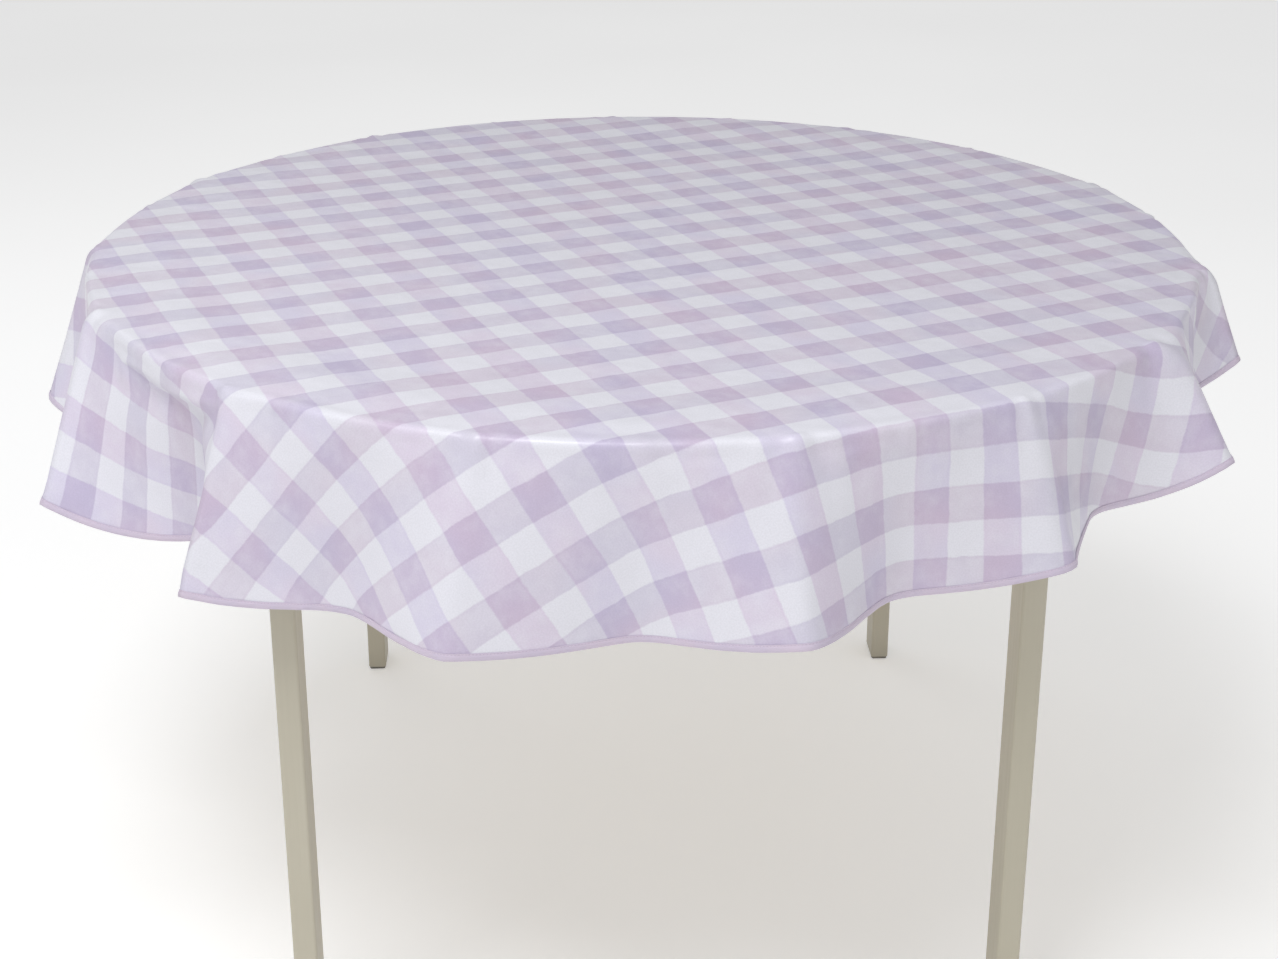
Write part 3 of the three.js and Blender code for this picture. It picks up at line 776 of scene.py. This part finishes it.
def board_finish():
    """The round board: sealed fibreboard, mottled by its fibres."""
    finish = Finish("board_finish", Specular_IOR_Level=0.35)
    place = finish.place()
    fibres = finish.noise(place, 420, 5, 0.7)
    clouds = finish.noise(place, 14, 3)
    colour = finish.mix(finish.span(clouds, 0.3, 0.7), srgb(196, 180, 152), srgb(184, 166, 138))
    colour = finish.mix(finish.span(fibres, 0.45, 0.8, 0, 0.5), colour, srgb(150, 128, 98))
    rough = finish.span(fibres, 0.3, 0.7, 0.5, 0.68)
    return finish.finish(colour, rough, finish.bump(fibres, 0.0002, 0.4))


def softwood():
    """Bare sawn pine: growth rings cut lengthwise, fine pores and saw marks."""
    finish = Finish("softwood", Specular_IOR_Level=0.25)
    stretched = finish.place(scale=(26, 26, 90), turn=(0.1, 0.2, 0.8))
    pushed = finish.add_vectors(stretched, finish.wander(stretched, 0.35, 1.4))
    rings = finish.node("TexWave", {"Vector": pushed, "Scale": 0.8, "Distortion": 3}).outputs["Fac"]
    pores = finish.noise(finish.place(scale=(900, 900, 60)), 1.0, 3)
    saw = finish.node("TexWave", {"Vector": finish.place(scale=(1, 1, 700)), "Scale": 0.5}).outputs["Fac"]
    colour = finish.mix(rings, srgb(222, 190, 140), srgb(188, 146, 94))
    colour = finish.mix(finish.span(pores, 0.5, 0.8, 0, 0.5), colour, srgb(150, 112, 70))
    height = finish.math("ADD", finish.math("MULTIPLY", saw, 0.4), pores)
    return finish.finish(colour, finish.span(pores, 0.3, 0.7, 0.65, 0.85), finish.bump(height, 0.0003, 0.4))


def plated_steel(name, bright, dull):
    """Zinc plate: crystal patches of two tones, fine scratches and a dulled, uneven shine."""
    finish = Finish(name, Metallic=1.0)
    place = finish.place()
    patches = finish.node("TexVoronoi", {"Vector": place, "Scale": 700}).outputs["Distance"]
    scratch = finish.noise(finish.place(scale=(300, 4000, 1500), turn=(0.3, 0.2, 0.7)), 1.0, 3)
    colour = finish.mix(finish.span(patches, 0, 0.7), bright, dull)
    rough = finish.math("MULTIPLY_ADD", scratch, 0.25, 0.2)
    return finish.finish(colour, rough, finish.bump(scratch, 0.00006, 0.3))


def glide_plastic():
    """A moulded glide: fine spark grain, and paler scuffs in stretched patches."""
    finish = Finish("glide_plastic", Specular_IOR_Level=0.4)
    place = finish.place()
    grain = finish.noise(place, 1600, 3, 0.6)
    scuff = finish.noise(finish.place(scale=(60, 60, 400)), 1.0, 4, 0.65)
    colour = finish.mix(finish.span(scuff, 0.5, 0.75), srgb(118, 115, 108), srgb(152, 148, 138))
    rough = finish.span(grain, 0.3, 0.7, 0.5, 0.66)
    return finish.finish(colour, rough, finish.bump(grain, 0.00015, 0.5))


def floor_finish():
    """A plain pale floor with the faintest unevenness."""
    finish = Finish("floor_finish", Specular_IOR_Level=0.2)
    slow = finish.noise(finish.place(), 0.8, 2)
    colour = finish.mix(finish.span(slow, 0.3, 0.7), srgb(246, 246, 246), srgb(243, 243, 243))
    finish.shader.inputs["Emission Color"].default_value = (1, 1, 1, 1)
    finish.shader.inputs["Emission Strength"].default_value = 0.30
    return finish.finish(colour, 0.85)


def dress(objects, material):
    """Puts one finish in every material slot of each object."""
    for piece in objects:
        if not piece.data.materials:
            piece.data.materials.append(material)
        for place in piece.material_slots:
            place.link = "OBJECT"
            place.material = material


# ---------------------------------------------------------------- the studio
# The sky's strength: from and to which part of its direction's Y or Z, and the strength at each end.
SKY_FRONT_TO_REAR = (-0.9, 0.6, 0.62, 0.32)
SKY_LOW_TO_HIGH = (0.05, 0.8, 0.68, 1.25)
HORIZON_GLOW = (0.01, 0.10, 0.42, 0.0)
FLOOR_HALF_SIZE = 30.0
FLOOR_LEVEL = -0.0002


def make_camera():
    """A camera in front of the table, above the level of its top and looking down at it. The lens is
    shifted down a little, which keeps the legs nearly upright."""
    lens, shift = 56.1, -0.10
    aside, stand_off, above_top, pitch = -0.003, 2.146, 0.636, 19.76
    level = TOP_HEIGHT + CLOTH_CLEARANCE + above_top
    data = bpy.data.cameras.new("camera")
    data.lens = lens
    data.sensor_width = 36
    data.shift_y = shift
    camera = bpy.data.objects.new("camera", data)
    camera.location = (AXIS_X + aside, AXIS_Y - stand_off, level)
    camera.rotation_euler = (math.radians(90 - pitch), 0, 0)
    bpy.context.scene.collection.objects.link(camera)
    bpy.context.scene.camera = camera


def add_light(name, place, target, size, power, colour=(1, 1, 1)):
    """A soft square light at a place, facing a target."""
    data = bpy.data.lights.new(name, "AREA")
    data.size = size
    data.energy = power
    data.color = colour
    light = bpy.data.objects.new(name, data)
    light.location = place
    aim = Vector(target) - Vector(place)
    light.rotation_mode = "QUATERNION"
    light.rotation_quaternion = aim.to_track_quat("-Z", "Y")
    bpy.context.scene.collection.objects.link(light)


def make_studio():
    """A wide pale floor, a sky that is brightest at the horizon, a big soft light in front and a weaker
    one behind."""
    scene = bpy.context.scene
    scene.view_settings.view_transform = "Standard"
    scene.view_settings.look = "None"
    size, level = FLOOR_HALF_SIZE, FLOOR_LEVEL
    corners = [(-size, -size, level), (size, -size, level), (size, size, level), (-size, size, level)]
    floor = make_piece("floor", corners, [np.array([[0, 1, 2, 3]])], smooth=False)
    dress([floor], floor_finish())
    world = bpy.data.worlds.new("studio")
    scene.world = world
    world.use_nodes = True
    nodes, links = world.node_tree.nodes, world.node_tree.links
    sky = nodes["Background"]
    way = nodes.new("ShaderNodeSeparateXYZ")
    links.new(nodes.new("ShaderNodeTexCoord").outputs["Generated"], way.inputs[0])
    parts = []
    for axis, values in (("Y", SKY_FRONT_TO_REAR), ("Z", SKY_LOW_TO_HIGH), ("Z", HORIZON_GLOW)):
        fade = nodes.new("ShaderNodeMapRange")
        links.new(way.outputs[axis], fade.inputs["Value"])
        for socket, value in zip(("From Min", "From Max", "To Min", "To Max"), values):
            fade.inputs[socket].default_value = value
        parts.append(fade.outputs[0])
    strength = nodes.new("ShaderNodeMath")
    strength.operation = "MULTIPLY_ADD"
    for socket, part in zip(strength.inputs, parts):
        links.new(part, socket)
    links.new(strength.outputs[0], sky.inputs["Strength"])
    sky.inputs["Color"].default_value = (1, 1, 1, 1)
    add_light("front_softbox", (-0.7, -1.5, 3.3), (0, -0.1, 0.6), 1.4, 52, (0.97, 0.985, 1.0))
    add_light("rear_softbox", (-1.6, 2.4, 2.8), (0, 0, 0.7), 2.0, 8)


# ---------------------------------------------------------------- assembly
def lay_cloth():
    """The cloth, its binding and its stitches, which lift off together."""
    flat, rest = cloth_grid()
    cloth = make_cloth(flat, rest)
    cloth.data.materials.append(cloth_print())
    cloth.data.materials.append(cloth_back())
    hem = Hem(rest)
    tape = make_tape(hem)
    dress([tape], binding_tape(hem.length))
    stitches = make_stitches(hem)
    dress([stitches], sewing_thread())
    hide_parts("tablecloth")
    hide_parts("hem_binding")
    for piece in (cloth, tape, stitches):
        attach(piece, "cloth")


def stand_table():
    """The table: new posts for its legs, and finishes for the parts that stay as they are."""
    paint = leg_paint()
    posts = make_legs()
    for post in posts:
        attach(post, "table")
    dress(posts, paint)
    nodes = frame["nodes"]
    dress([nodes["apron_rail_" + side] for side in SIDES], paint)
    dress([nodes["table_top"]], board_finish())
    dress([nodes["corner_block_" + corner] for corner in CORNERS], softwood())
    zinc = plated_steel("bright_zinc", srgb(198, 200, 204), srgb(168, 171, 177))
    yellow = plated_steel("yellow_zinc", srgb(206, 188, 132), srgb(176, 158, 112))
    steel_parts = [part + corner for part in ("leg_bolt_", "washer_", "nut_") for corner in CORNERS]
    screws = [f"top_screw_{corner}_{k}" for corner in CORNERS for k in (1, 2)]
    dress([nodes[name] for name in steel_parts], zinc)
    dress([nodes[name] for name in screws], yellow)
    dress([nodes["foot_pad_" + corner] for corner in CORNERS], glide_plastic())


make_camera()
make_studio()
lay_cloth()
stand_table()
